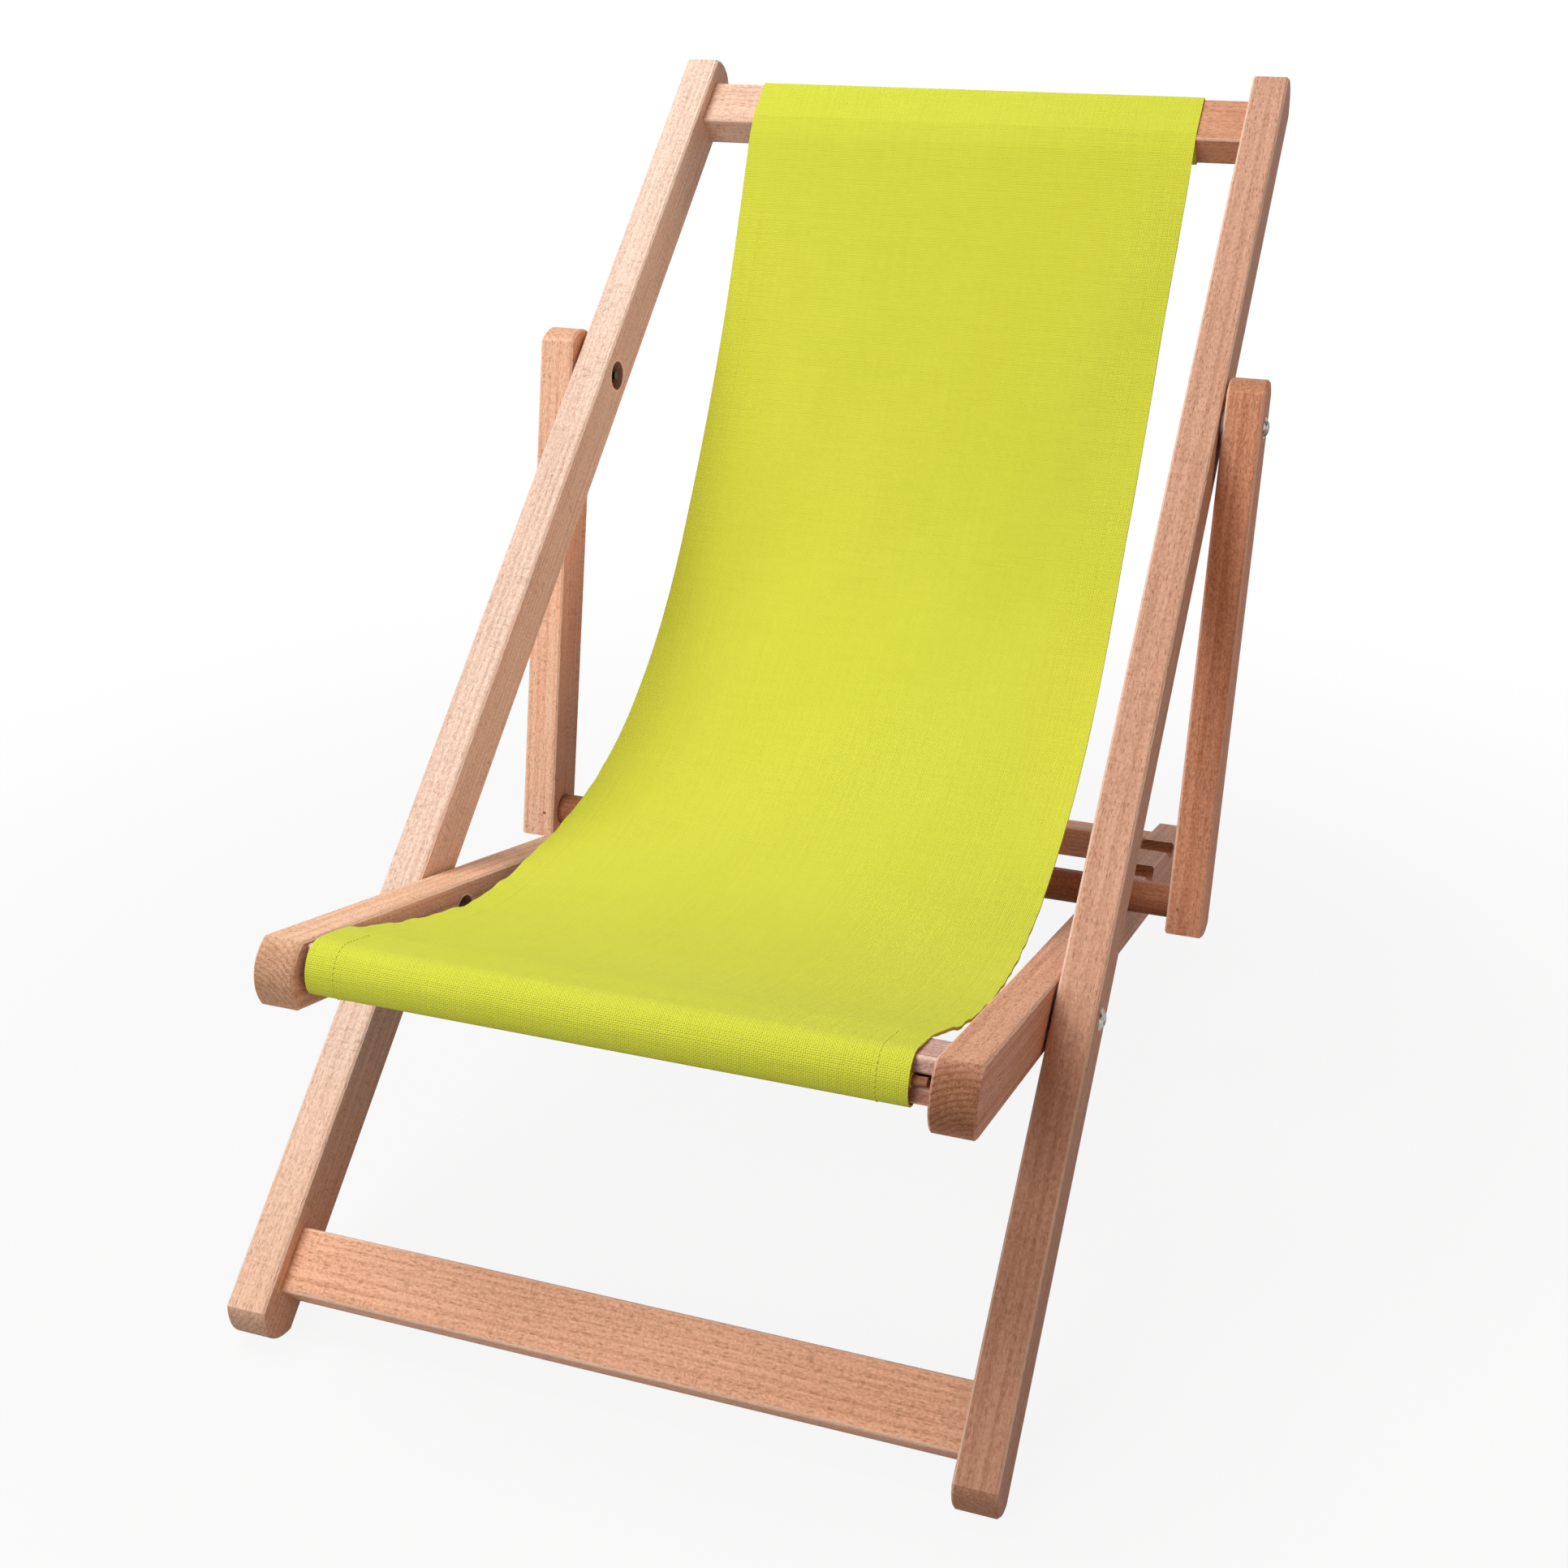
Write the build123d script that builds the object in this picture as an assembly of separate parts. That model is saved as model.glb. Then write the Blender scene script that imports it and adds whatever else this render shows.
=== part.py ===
"""Folding deck chair in beech with a canvas sling, standing in its most upright notch.

Three frames make the chair. The back frame runs from the front feet to the head end. The seat
frame lies inside it and turns on two bolts. The prop frame hangs outside the back frame, and its
round dowel drops into notches across the seat rails. Millimetres, +X to the right seen from the
front, +Y to the rear, +Z up, with the origin on the floor under the middle of the chair.
"""

import os
from math import acos, asin, atan2, cos, degrees, dist, hypot, pi, radians, sin, sqrt

from build123d import *

# Timber: rails and bars come from one stock, the slats are thinner
RAIL_DEPTH = 44.0
RAIL_THICK = 28.0
RAIL_END_RADIUS = 28.0
PROP_FOOT_RADIUS = 62.0
RAIL_EASE = 1.6
BAR_WIDTH = 44.0
BAR_THICK = 28.0
BAR_EASE = 3.0

# Back frame, measured along its rails
BACK_FOOT_TO_SEAT_PIVOT = 315.0
SEAT_PIVOT_TO_PROP_PIVOT = 477.0
PROP_PIVOT_TO_HEAD = 338.0
HEAD_TO_TOP_BAR = 47.0
FOOT_TO_FOOT_BAR = 51.0
BACK_BAR_SETBACK = 11.0

# Seat frame, measured along its rails
NOSE_TO_SEAT_PIVOT = 227.0
SEAT_PIVOT_TO_TAIL = 680.0
TAIL_TO_STRETCHER = 37.0
STRETCHER_SETBACK = 8.0
NOSE_TO_SLATS = 15.0
SLAT_WIDTH = 40.0
SLAT_THICK = 11.0
SLAT_SLOT = 7.0
SLAT_SETBACK = 2.5

# Notches across the top of the seat rails
SEAT_PIVOT_TO_NOTCH = 299.0
NOTCH_PITCH = 128.0
NOTCH_COUNT = 3
NOTCH_DEPTH = 12.0
NOTCH_RAMP = 39.0

# Prop frame, measured along its rails
PROP_HEAD_TO_PIVOT = 35.0
PROP_PIVOT_TO_DOWEL = 369.0
DOWEL_TO_PROP_FOOT = 24.0
DOWEL_DIAMETER = 26.0
DOWEL_SEAT_CLEARANCE = 0.35

# Widths across the chair
SEAT_INNER_WIDTH = 400.0
SEAT_TO_BACK_GAP = 2.0
BACK_TO_PROP_GAP = 3.0

# Joinery: stub tenons in blind mortises, nails through the dowel's ends
TENON_LENGTH = 16.0
TENON_SHOULDER = 6.0
SLAT_TENON_SHOULDER = 2.0
MORTISE_CLEARANCE = 0.1
NAIL_DIAMETER = 2.6
NAIL_LENGTH = 36.0
NAIL_SINK = 0.6

# Pivot hardware: coach bolts with the nuts let into the inner faces
BOLT_DIAMETER = 6.0
BOLT_HEAD_DIAMETER = 16.0
BOLT_HEAD_HEIGHT = 3.6
BOLT_NECK = 4.0
BOLT_POINT = 1.5
NUT_ACROSS_FLATS = 10.0
NUT_HEIGHT = 5.0
WASHER_DIAMETER = 18.0
WASHER_THICK = 1.6
SPACER_DIAMETER = 20.0
COUNTERBORE_DIAMETER = 23.0
COUNTERBORE_DEPTH = 9.5
RUNNING_CLEARANCE = 0.05
FACE_CLEARANCE = 0.15

# Sling: canvas, sewn round the top bar and held in the front slot by a rod in its hem
SLING_WIDTH = 380.0
SLING_THICK = 1.2
SLING_HANG_LENGTH = 972.0
SLING_LEAN = 0.59
SLING_CLEARANCE = 0.4
SLING_ROD_DIAMETER = 6.0
SLING_ROD_END_GAP = 4.0
SLING_ROD_PROUD = 1.0
SLING_ROD_COVER = 7.2
HANG_STEPS = 14

# Half widths of the three nested frames
SEAT_IN = SEAT_INNER_WIDTH / 2
SEAT_OUT = SEAT_IN + RAIL_THICK
BACK_IN = SEAT_OUT + SEAT_TO_BACK_GAP
BACK_OUT = BACK_IN + RAIL_THICK
PROP_IN = BACK_OUT + BACK_TO_PROP_GAP
PROP_OUT = PROP_IN + RAIL_THICK
HALF_DEPTH = RAIL_DEPTH / 2


def end_sag(radius):
    """How far a rail's end arc stands out from its corners."""
    return radius - sqrt(radius ** 2 - HALF_DEPTH ** 2)


def stand_height(reach, tilt):
    """Height of a pivot over the floor, for a rail end at this reach and tilt from straight down."""
    span = asin(HALF_DEPTH / RAIL_END_RADIUS)
    if abs(tilt) <= span:
        return (reach - RAIL_END_RADIUS) * cos(tilt) + RAIL_END_RADIUS
    return (reach - end_sag(RAIL_END_RADIUS)) * cos(tilt) + HALF_DEPTH * sin(abs(tilt))


def solve(function, low, high):
    """Root of a rising function by bisection."""
    for _ in range(60):
        middle = (low + high) / 2
        low, high = (middle, high) if function(middle) < 0 else (low, middle)
    return (low + high) / 2


# The scissor closes as a triangle of the two pivots and the seated dowel
DOWEL_RADIUS = DOWEL_DIAMETER / 2
DOWEL_OFF_SEAT_AXIS = HALF_DEPTH - NOTCH_DEPTH + DOWEL_RADIUS + DOWEL_SEAT_CLEARANCE
PIVOT_TO_DOWEL = hypot(SEAT_PIVOT_TO_NOTCH, DOWEL_OFF_SEAT_AXIS)
SCISSOR = atan2(DOWEL_OFF_SEAT_AXIS, SEAT_PIVOT_TO_NOTCH) + acos(
    (SEAT_PIVOT_TO_PROP_PIVOT ** 2 + PIVOT_TO_DOWEL ** 2 - PROP_PIVOT_TO_DOWEL ** 2)
    / (2 * SEAT_PIVOT_TO_PROP_PIVOT * PIVOT_TO_DOWEL))

# Both pairs of feet stand on the floor, which sets the back's tilt from level
BACK_TILT = solve(
    lambda tilt: stand_height(BACK_FOOT_TO_SEAT_PIVOT, pi / 2 - tilt)
    - stand_height(SEAT_PIVOT_TO_TAIL, pi / 2 - (SCISSOR - tilt)),
    radians(15), SCISSOR - radians(1))
SEAT_TILT = BACK_TILT - SCISSOR
SEAT_PIVOT_HEIGHT = stand_height(BACK_FOOT_TO_SEAT_PIVOT, pi / 2 - BACK_TILT)


def frame_plane(y, z, tilt):
    """Side plane of a frame: x along its rails, y out of its front or top, normal along +X."""
    return Plane(origin=(0, y, z), x_dir=(0, cos(tilt), sin(tilt)), z_dir=(1, 0, 0))


def to_world(frame, along, out):
    """Side-view point (Y, Z) of a point given in a frame."""
    point = frame.from_local_coords(Vector(along, out, 0))
    return point.Y, point.Z


BACK = frame_plane(0, SEAT_PIVOT_HEIGHT, BACK_TILT)
SEAT = frame_plane(0, SEAT_PIVOT_HEIGHT, SEAT_TILT)
PROP_PIVOT = to_world(BACK, SEAT_PIVOT_TO_PROP_PIVOT, 0)
DOWEL_AT = to_world(SEAT, SEAT_PIVOT_TO_NOTCH, DOWEL_OFF_SEAT_AXIS)
PROP_TILT = atan2(PROP_PIVOT[1] - DOWEL_AT[1], PROP_PIVOT[0] - DOWEL_AT[0])
PROP = frame_plane(*PROP_PIVOT, PROP_TILT)


def across(frame, sketch, x_from, x_to):
    """Solid of a side-view sketch in a frame, from one X to another."""
    return extrude(frame.offset(min(x_from, x_to)) * sketch, abs(x_to - x_from), dir=(1, 0, 0))


def round_bar(frame, along, out, radius, x_from, x_to):
    """Cylinder across the chair at a point of a frame."""
    return across(frame, Pos(along, out) * Circle(radius), x_from, x_to)


def rail_profile(low, high, low_radius=RAIL_END_RADIUS, high_radius=RAIL_END_RADIUS):
    """Side view of a rail with its two arched ends."""
    low_corner = low + end_sag(low_radius)
    high_corner = high - end_sag(high_radius)
    outline = [
        Line((low_corner, -HALF_DEPTH), (high_corner, -HALF_DEPTH)),
        ThreePointArc((high_corner, -HALF_DEPTH), (high, 0), (high_corner, HALF_DEPTH)),
        Line((high_corner, HALF_DEPTH), (low_corner, HALF_DEPTH)),
        ThreePointArc((low_corner, HALF_DEPTH), (low, 0), (low_corner, -HALF_DEPTH)),
    ]
    return make_face(outline)


def rail(frame, profile, x_inner, side):
    """Rail with eased arrises, on one side of the chair."""
    blank = across(frame, profile, side * x_inner, side * (x_inner + RAIL_THICK))
    return chamfer(blank.faces().filter_by(Axis.X).edges(), RAIL_EASE)


def bar_section(along, out, width, thick, ease):
    """Side view of a bar whose width lies along the rails."""
    return Pos(along, out) * RectangleRounded(width, thick, ease)


def tenon_section(along, out, width, thick, shoulder, clearance=0.0):
    """Side view of a bar's tenon, or with clearance of its mortise."""
    return Pos(along, out) * Rectangle(
        width - 2 * shoulder + 2 * clearance, thick - 2 * shoulder + 2 * clearance)


def tenoned_bar(frame, place, x_inner):
    """Bar between two rails with a stub tenon at each end; place is its section and shoulder."""
    along, out, width, thick, ease, shoulder = place
    body = across(frame, bar_section(along, out, width, thick, ease), -x_inner, x_inner)
    reach = x_inner + TENON_LENGTH
    return body + across(frame, tenon_section(along, out, width, thick, shoulder), -reach, reach)


def mortise(frame, place, x_inner, side):
    """Blind mortise that takes the tenon of a bar."""
    along, out, width, thick, _, shoulder = place
    depth = x_inner + TENON_LENGTH + MORTISE_CLEARANCE
    section = tenon_section(along, out, width, thick, shoulder, MORTISE_CLEARANCE)
    return across(frame, section, side * x_inner, side * depth)


def back_bar(along):
    """Place of a bar between the back rails, set back from their front faces."""
    out = HALF_DEPTH - BACK_BAR_SETBACK - BAR_THICK / 2
    return along, out, BAR_WIDTH, BAR_THICK, BAR_EASE, TENON_SHOULDER


SLAT_ALONG = NOSE_TO_SLATS + SLAT_WIDTH / 2 - NOSE_TO_SEAT_PIVOT
SLAT_FRONT = SLAT_ALONG - SLAT_WIDTH / 2
SLAT_REAR = SLAT_ALONG + SLAT_WIDTH / 2
SLAT_TOP = HALF_DEPTH - SLAT_SETBACK
SLOT_OUT = SLAT_TOP - SLAT_THICK - SLAT_SLOT / 2
SLAT_BOTTOM = SLAT_TOP - 2 * SLAT_THICK - SLAT_SLOT


def slat(out):
    """Place of a front slat of the seat frame."""
    return SLAT_ALONG, out, SLAT_WIDTH, SLAT_THICK, BAR_EASE, SLAT_TENON_SHOULDER


TOP_BAR = back_bar(SEAT_PIVOT_TO_PROP_PIVOT + PROP_PIVOT_TO_HEAD - HEAD_TO_TOP_BAR)
FOOT_BAR = back_bar(FOOT_TO_FOOT_BAR - BACK_FOOT_TO_SEAT_PIVOT)
UPPER_SLAT = slat(SLAT_TOP - SLAT_THICK / 2)
LOWER_SLAT = slat(SLAT_BOTTOM + SLAT_THICK / 2)
STRETCHER = (SEAT_PIVOT_TO_TAIL - TAIL_TO_STRETCHER,
             HALF_DEPTH - STRETCHER_SETBACK - BAR_THICK / 2,
             BAR_WIDTH, BAR_THICK, BAR_EASE, TENON_SHOULDER)


def pivot_bore(frame, along, x_inner, side):
    """Running bore through a rail, with the counterbore for the nut in its inner face."""
    bore = round_bar(frame, along, 0, BOLT_DIAMETER / 2 + RUNNING_CLEARANCE,
                     side * x_inner, side * (x_inner + RAIL_THICK))
    recess = round_bar(frame, along, 0, COUNTERBORE_DIAMETER / 2,
                       side * x_inner, side * (x_inner + COUNTERBORE_DEPTH))
    return bore + recess


def neck_bore(frame, x_outer, side):
    """Hole in the outer rail of a pivot, squared at its mouth for the bolt's neck."""
    hole = round_bar(frame, 0, 0, BOLT_DIAMETER / 2 + RUNNING_CLEARANCE,
                     side * (x_outer - RAIL_THICK), side * x_outer)
    square = BOLT_DIAMETER + 2 * RUNNING_CLEARANCE
    return hole + across(frame, Rectangle(square, square), side * (x_outer - BOLT_NECK), side * x_outer)


def notch_profile(along):
    """Side view of one notch: a ramp from the front, then a round seat with a steep rear wall."""
    seat_radius = DOWEL_RADIUS + DOWEL_SEAT_CLEARANCE
    seat_out = DOWEL_OFF_SEAT_AXIS
    rear = sqrt(seat_radius ** 2 - (seat_out - HALF_DEPTH) ** 2)
    floor = Pos(along, seat_out) * Circle(seat_radius)
    mouth = HALF_DEPTH + DOWEL_RADIUS
    lift = atan2(seat_out - HALF_DEPTH, NOTCH_RAMP) - asin(seat_radius / hypot(
        NOTCH_RAMP, seat_out - HALF_DEPTH))
    run = sqrt(NOTCH_RAMP ** 2 + (seat_out - HALF_DEPTH) ** 2 - seat_radius ** 2)
    ramp_end = (along - NOTCH_RAMP + run * cos(lift), HALF_DEPTH + run * sin(lift))
    ramp = make_face(Polyline(
        (along - NOTCH_RAMP, HALF_DEPTH), ramp_end, (along, seat_out), (along + rear, HALF_DEPTH),
        (along + rear, mouth), (along - NOTCH_RAMP, mouth), close=True))
    return ramp + floor


def back_rail(side):
    """Back rail: bar mortises inside, bolt hole at the seat pivot, counterbore at the prop pivot."""
    low = -BACK_FOOT_TO_SEAT_PIVOT
    high = SEAT_PIVOT_TO_PROP_PIVOT + PROP_PIVOT_TO_HEAD
    body = rail(BACK, rail_profile(low, high), BACK_IN, side)
    for place in (TOP_BAR, FOOT_BAR):
        body -= mortise(BACK, place, BACK_IN, side)
    body -= neck_bore(BACK, BACK_OUT, side)
    return body - pivot_bore(BACK, SEAT_PIVOT_TO_PROP_PIVOT, BACK_IN, side)


def seat_rail(side):
    """Seat rail with its notches, slat and stretcher mortises and pivot bore."""
    body = rail(SEAT, rail_profile(-NOSE_TO_SEAT_PIVOT, SEAT_PIVOT_TO_TAIL), SEAT_IN, side)
    for place in (UPPER_SLAT, LOWER_SLAT, STRETCHER):
        body -= mortise(SEAT, place, SEAT_IN, side)
    for index in range(NOTCH_COUNT):
        profile = notch_profile(SEAT_PIVOT_TO_NOTCH + index * NOTCH_PITCH)
        body -= across(SEAT, profile, side * SEAT_IN, side * SEAT_OUT)
    return body - pivot_bore(SEAT, 0, SEAT_IN, side)


DOWEL_SOCKET = PROP_IN + TENON_LENGTH
NAIL_X = PROP_IN + TENON_LENGTH / 2


def nail(side, radius, length):
    """Nail driven square through a prop rail's front face into the end of the dowel."""
    head = PROP.from_local_coords(Vector(-PROP_PIVOT_TO_DOWEL, HALF_DEPTH, side * NAIL_X))
    face = Plane(origin=head, x_dir=(1, 0, 0), z_dir=PROP.y_dir)
    return extrude(face * Circle(radius), -length)


def nail_hole(side):
    """Drilled hole of a nail."""
    return nail(side, NAIL_DIAMETER / 2 + RUNNING_CLEARANCE, NAIL_LENGTH + NAIL_SINK)


def prop_rail(side):
    """Prop rail with an arched head, a flatter foot, the bolt hole and the dowel's socket."""
    profile = rail_profile(-PROP_PIVOT_TO_DOWEL - DOWEL_TO_PROP_FOOT, PROP_HEAD_TO_PIVOT,
                           low_radius=PROP_FOOT_RADIUS)
    body = rail(PROP, profile, PROP_IN, side) - neck_bore(PROP, PROP_OUT, side)
    body -= round_bar(PROP, -PROP_PIVOT_TO_DOWEL, 0, DOWEL_RADIUS + RUNNING_CLEARANCE,
                      side * PROP_IN, side * (DOWEL_SOCKET + MORTISE_CLEARANCE))
    return body - nail_hole(side)


def prop_dowel():
    """Round dowel of the prop frame, let into both rails and nailed."""
    body = round_bar(PROP, -PROP_PIVOT_TO_DOWEL, 0, DOWEL_RADIUS, -DOWEL_SOCKET, DOWEL_SOCKET)
    return body - nail_hole(-1) - nail_hole(1)


def driven_nail(side):
    """Nail with its head sunk just under the surface."""
    return Pos(*(PROP.y_dir * -NAIL_SINK)) * nail(side, NAIL_DIAMETER / 2, NAIL_LENGTH)


def coach_bolt(frame, x_head, x_end, side):
    """Coach bolt from its domed head on an outer face to its end inside the counterbore."""
    radius = BOLT_HEAD_DIAMETER / 2
    dome = (radius ** 2 + BOLT_HEAD_HEIGHT ** 2) / (2 * BOLT_HEAD_HEIGHT)
    profile = make_face([
        Line((0, 0), (radius, 0)),
        ThreePointArc((radius, 0), (dome * sin(radians(18)),
                      BOLT_HEAD_HEIGHT - dome * (1 - cos(radians(18)))), (0, BOLT_HEAD_HEIGHT)),
        Line((0, BOLT_HEAD_HEIGHT), (0, 0)),
    ])
    seat = frame.from_local_coords(Vector(0, 0, side * x_head))
    side_on = Plane(origin=seat, x_dir=frame.x_dir, z_dir=frame.x_dir.cross(Vector(side, 0, 0)))
    head = revolve(side_on * profile, Axis(seat, (1, 0, 0)))
    shank = round_bar(frame, 0, 0, BOLT_DIAMETER / 2, side * x_head, side * x_end)
    neck = across(frame, Rectangle(BOLT_DIAMETER, BOLT_DIAMETER),
                  side * x_head, side * (x_head - BOLT_NECK))
    return head + shank + neck


def ring(frame, outer, x_from, x_to):
    """Washer or spacer on a pivot bolt."""
    section = Circle(outer / 2) - Circle(BOLT_DIAMETER / 2 + RUNNING_CLEARANCE)
    return across(frame, section, x_from, x_to)


def hex_nut(frame, x_from, x_to):
    """Plain hexagon nut on a pivot bolt."""
    section = RegularPolygon(NUT_ACROSS_FLATS / 2, 6, major_radius=False)
    section -= Circle(BOLT_DIAMETER / 2 + RUNNING_CLEARANCE)
    return across(frame, section, x_from, x_to)


def pivot_set(frame, x_inner, gap, side):
    """Bolt, spacer, washer and nut of one pivot, square with the outer rail that holds its bolt."""
    floor = x_inner + COUNTERBORE_DEPTH - FACE_CLEARANCE
    nut_top = floor - WASHER_THICK - NUT_HEIGHT
    spacer_at = x_inner + RAIL_THICK + FACE_CLEARANCE
    spacer_to = x_inner + RAIL_THICK + gap
    return {
        "bolts": coach_bolt(frame, spacer_to + RAIL_THICK, nut_top - BOLT_POINT, side),
        "spacers": ring(frame, SPACER_DIAMETER, side * spacer_at, side * spacer_to),
        "washers": ring(frame, WASHER_DIAMETER, side * (floor - WASHER_THICK), side * floor),
        "nuts": hex_nut(frame, side * nut_top, side * (nut_top + NUT_HEIGHT)),
    }


def hanging_line(start, end, length):
    """Side-view points of a sheet of this length whose sag leans towards its start."""
    span, rise = end[0] - start[0], end[1] - start[1]

    def points(sag):
        line = []
        for step in range(HANG_STEPS + 1):
            at = step / HANG_STEPS
            depth = 4 * sag * at * (1 - at) * (1 + SLING_LEAN * (0.5 - at))
            line.append((start[0] + span * at + rise * depth, start[1] + rise * at - span * depth))
        return line

    def spare(sag):
        line = points(sag)
        return sum(dist(here, there) for here, there in zip(line, line[1:])) - length

    return points(solve(spare, 0.0, 1.0))


def strip(points):
    """Side view of a sheet along a smooth curve through these side-view points."""
    half = SLING_THICK / 2
    curve = Spline(*points)
    sides = []
    for sign in (1, -1):
        offsets = []
        for step in range(len(points)):
            at = step / (len(points) - 1)
            tangent = curve % at
            offsets.append(curve @ at + Vector(-tangent.Y, tangent.X) * half * sign)
        sides.append(offsets)
    upper, lower = sides
    return make_face([Spline(*upper), Line(upper[-1], lower[-1]), Spline(*lower), Line(lower[0], upper[0])])


def sling():
    """Canvas sling: sleeve round the top bar, hanging sheet, wrap round the slats, hem on the rod."""
    half = SLING_WIDTH / 2
    skin = SLING_CLEARANCE + SLING_THICK / 2
    along, out, width, thick, ease, _ = TOP_BAR
    inner = bar_section(along, out, width + 2 * SLING_CLEARANCE, thick + 2 * SLING_CLEARANCE,
                        ease + SLING_CLEARANCE)
    grown = SLING_CLEARANCE + SLING_THICK
    outer = bar_section(along, out, width + 2 * grown, thick + 2 * grown, ease + grown)
    sleeve = across(BACK, outer - inner, -half, half)

    leave = to_world(BACK, along - width / 2, out + thick / 2 + skin)
    land = to_world(SEAT, SLAT_REAR, SLAT_TOP + skin)
    side = Plane(origin=(0, 0, 0), x_dir=(0, 1, 0), z_dir=(1, 0, 0))
    sheet = across(side, strip(hanging_line(land, leave, SLING_HANG_LENGTH)), -half, half)

    front, rear = SLAT_FRONT - skin, SLAT_REAR + skin
    wrap = FilletPolyline(
        (SLAT_REAR, SLAT_TOP + skin), (front, SLAT_TOP + skin),
        (SLAT_FRONT - SLING_ROD_COVER, SLOT_OUT), (front, SLAT_BOTTOM - skin),
        (rear, SLAT_BOTTOM - skin), (rear, SLOT_OUT), (SLAT_FRONT + BAR_EASE, SLOT_OUT),
        radius=BAR_EASE + skin)
    hem_radius = SLING_ROD_DIAMETER / 2 + SLING_CLEARANCE / 2
    hem = Pos(SLAT_FRONT - SLING_ROD_PROUD, SLOT_OUT) * (
        Circle(hem_radius + SLING_THICK) - Circle(hem_radius))
    wrapped = across(SEAT, trace(wrap, SLING_THICK) + hem, -half, half)
    return sleeve + sheet + wrapped


def sling_rod():
    """Rod in the sling's front hem, seated in the mouth of the slot between the seat rails."""
    reach = SEAT_IN - SLING_ROD_END_GAP
    return round_bar(SEAT, SLAT_FRONT - SLING_ROD_PROUD, SLOT_OUT, SLING_ROD_DIAMETER / 2, -reach, reach)


def build():
    """All pieces by name."""
    pieces = {
        "top_bar": tenoned_bar(BACK, TOP_BAR, BACK_IN),
        "foot_bar": tenoned_bar(BACK, FOOT_BAR, BACK_IN),
        "front_slat_upper": tenoned_bar(SEAT, UPPER_SLAT, SEAT_IN),
        "front_slat_lower": tenoned_bar(SEAT, LOWER_SLAT, SEAT_IN),
        "rear_stretcher": tenoned_bar(SEAT, STRETCHER, SEAT_IN),
        "prop_dowel": prop_dowel(),
        "prop_dowel_nails": Compound(children=[driven_nail(-1), driven_nail(1)]),
        "sling_rod": sling_rod(),
        "sling": sling(),
    }
    for name, side in (("left", -1), ("right", 1)):
        pieces[f"back_rail_{name}"] = back_rail(side)
        pieces[f"seat_rail_{name}"] = seat_rail(side)
        pieces[f"prop_rail_{name}"] = prop_rail(side)
    for pivot, outer_frame, x_inner, gap in (("seat", BACK, SEAT_IN, SEAT_TO_BACK_GAP),
                                             ("prop", PROP, BACK_IN, BACK_TO_PROP_GAP)):
        left, right = (pivot_set(outer_frame, x_inner, gap, side) for side in (-1, 1))
        for kind in left:
            pieces[f"{pivot}_pivot_{kind}"] = Compound(children=[left[kind], right[kind]])
    return pieces


def main():
    """Write one file per piece, centred over the floor."""
    os.makedirs("parts", exist_ok=True)
    pieces = build()
    boxes = [piece.bounding_box() for piece in pieces.values()]
    middle = (min(box.min.Y for box in boxes) + max(box.max.Y for box in boxes)) / 2
    for name, piece in pieces.items():
        export_step(Pos(0, -middle, 0) * piece, f"parts/{name}.step")
    print("scissor %.2f back tilt %.2f seat tilt %.2f prop tilt %.2f" % tuple(
        degrees(angle) for angle in (SCISSOR, BACK_TILT, SEAT_TILT, PROP_TILT)))
    print("seat pivot y %.3f z %.3f" % (-middle, SEAT_PIVOT_HEIGHT))
    print("prop pivot y %.3f z %.3f" % (PROP_PIVOT[0] - middle, PROP_PIVOT[1]))
    print("dowel y %.3f z %.3f" % (DOWEL_AT[0] - middle, DOWEL_AT[1]))


main()
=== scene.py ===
"""Beech deck chair with a lime canvas sling: its finishes, the sewn sling, and a plain studio."""

import math

import bpy
import numpy as np
from mathutils import Matrix, Vector


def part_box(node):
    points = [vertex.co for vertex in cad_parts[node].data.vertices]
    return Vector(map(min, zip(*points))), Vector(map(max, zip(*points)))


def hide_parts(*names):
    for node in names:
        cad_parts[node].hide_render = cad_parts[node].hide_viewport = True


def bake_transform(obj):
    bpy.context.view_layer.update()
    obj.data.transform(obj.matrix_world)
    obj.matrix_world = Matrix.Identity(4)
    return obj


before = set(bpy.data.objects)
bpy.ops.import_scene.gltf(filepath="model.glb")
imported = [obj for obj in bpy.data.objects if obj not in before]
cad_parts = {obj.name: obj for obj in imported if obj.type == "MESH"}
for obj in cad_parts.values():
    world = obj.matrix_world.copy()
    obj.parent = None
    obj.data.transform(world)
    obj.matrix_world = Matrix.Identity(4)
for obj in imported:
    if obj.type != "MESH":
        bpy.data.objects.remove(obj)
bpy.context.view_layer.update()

# The frames in metres, as in the part: pivots are side-view points (y, z), and bars, slats and the
# rod are placed along a frame's rails from the seat pivot and out of them
SEAT_PIVOT = (-0.201332, 0.208249)
PROP_PIVOT = (0.169859, 0.507825)
BORE_RADIUS = 0.0115
BACK_TILT = math.radians(38.91)
SEAT_TILT = math.radians(-16.23)
PROP_TILT = math.radians(77.86)
BAR_FRONT, BAR_REAR = 0.011, -0.017
BAR_LOW, BAR_HIGH = 0.746, 0.790
SLAT_FRONT, SLAT_REAR = -0.212, -0.172
SLAT_TOP, SLAT_BOTTOM, SLOT_OUT = 0.0195, -0.0095, 0.005
ROD_AT, ROD_RADIUS, ROD_COVER = -0.213, 0.003, 0.0088

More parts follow.
